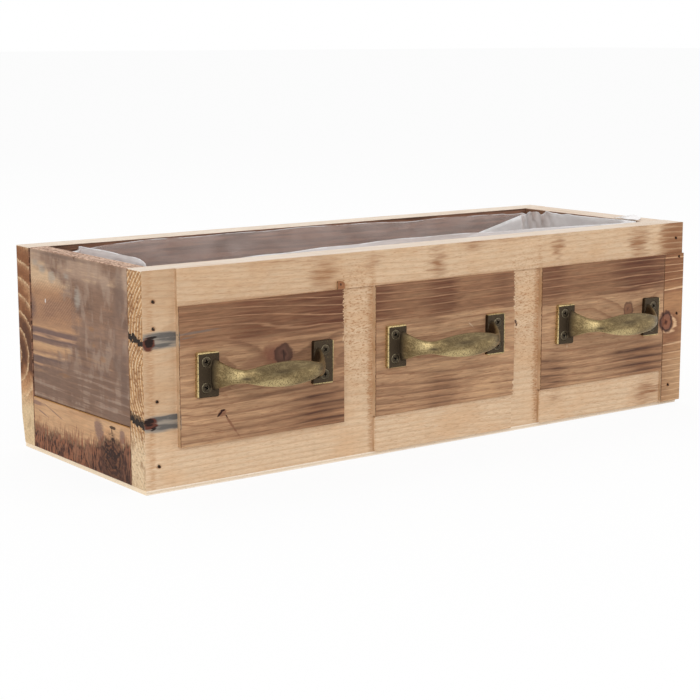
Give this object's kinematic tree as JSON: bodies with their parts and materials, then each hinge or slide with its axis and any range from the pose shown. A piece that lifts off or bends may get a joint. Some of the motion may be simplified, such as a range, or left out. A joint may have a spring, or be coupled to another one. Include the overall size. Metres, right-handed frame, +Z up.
{
  "type": "wooden planter box",
  "caption": "Long open-topped wooden planter box with raised mock drawer fronts, cast pulls on them and a film liner inside.",
  "frame": {"origin": "centre of the flat underside, on the surface that the planter stands on", "axes": "+X to the right along the front, -Y out of the front with its pulls, +Z up"},
  "size_m": [0.508, 0.2179, 0.151],
  "materials": {
    "front_wood": "fresh routed pine frame round dark stained panels",
    "back_wood": "rough brown softwood with a fresh-sawn top edge",
    "weathered_wood": "grey-brown water-stained softwood",
    "brown_wood": "brown stained softwood with a dark knot",
    "plywood": "raw pale plywood",
    "liner_film": "thin translucent white film",
    "antique_brass": "mottled antique brass, bright on worn edges",
    "dark_screw": "blackened bronze-coloured steel",
    "brad_steel": "dull wire"
  },
  "bodies": {
    "root": {"front_board": "front_wood", "back_board": "back_wood", "left_end_upper_board": "weathered_wood", "left_end_lower_board": "brown_wood", "right_end_upper_board": "weathered_wood", "right_end_lower_board": "brown_wood", "bottom_panel": "plywood", "film_liner": "liner_film", "left_pull": "antique_brass", "middle_pull": "antique_brass", "right_pull": "antique_brass", "left_pull_screws": "dark_screw", "middle_pull_screws": "dark_screw", "right_pull_screws": "dark_screw", "front_left_brads": "brad_steel", "front_right_brads": "brad_steel", "back_left_brads": "brad_steel", "back_right_brads": "brad_steel", "bottom_brads": "brad_steel"}
  },
  "joints": []
}
